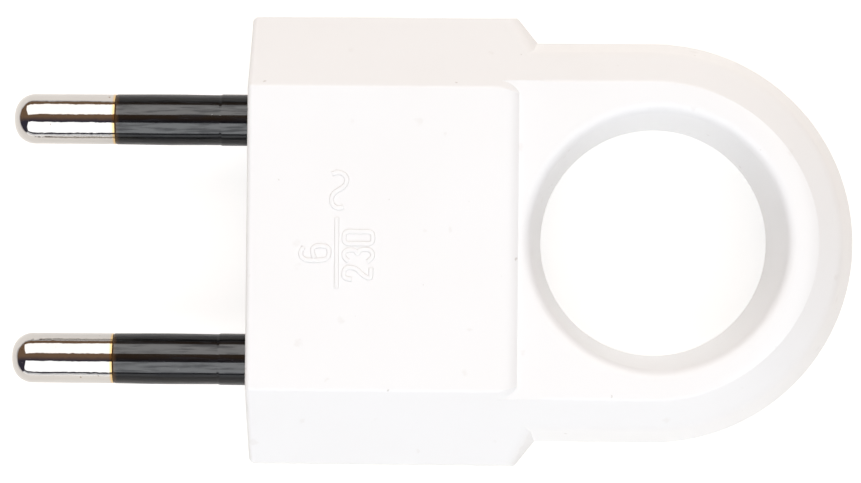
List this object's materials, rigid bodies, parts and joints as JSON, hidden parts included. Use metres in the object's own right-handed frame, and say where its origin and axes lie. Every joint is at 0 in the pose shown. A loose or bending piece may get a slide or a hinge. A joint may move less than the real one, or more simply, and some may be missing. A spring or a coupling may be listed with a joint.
{
  "type": "two-pin plug",
  "caption": "Flat mains plug with round half-sleeved pins, a bevelled hollow body and a round finger ring at its rear.",
  "frame": {"origin": "midway between the pins, on the face that meets the socket, in the plane where the two shells part", "axes": "-X points along the pins into the socket, +X towards the finger ring, +Z out of the flat of the front shell"},
  "size_m": [0.0666, 0.0356, 0.014],
  "materials": {
    "white_housing": "smooth moulded white plastic with a soft shine",
    "clamp_plastic": "satin moulded plastic",
    "plated_pin": "bright nickel plate on turned brass",
    "black_sleeve": "black moulded sleeve with a soft shine",
    "zinc_steel": "bright zinc plate"
  },
  "bodies": {
    "root": {"front_shell": "white_housing", "back_shell": "white_housing", "contact_pin_upper": "plated_pin", "contact_pin_lower": "plated_pin", "pin_sleeve_upper": "black_sleeve", "pin_sleeve_lower": "black_sleeve", "terminal_screw_upper": "zinc_steel", "terminal_screw_lower": "zinc_steel", "cord_clamp": "clamp_plastic", "cord_clamp_screw": "zinc_steel", "housing_screw_front": "zinc_steel", "housing_screw_rear": "zinc_steel", "housing_nut_front": "zinc_steel", "housing_nut_rear": "zinc_steel"}
  },
  "joints": []
}
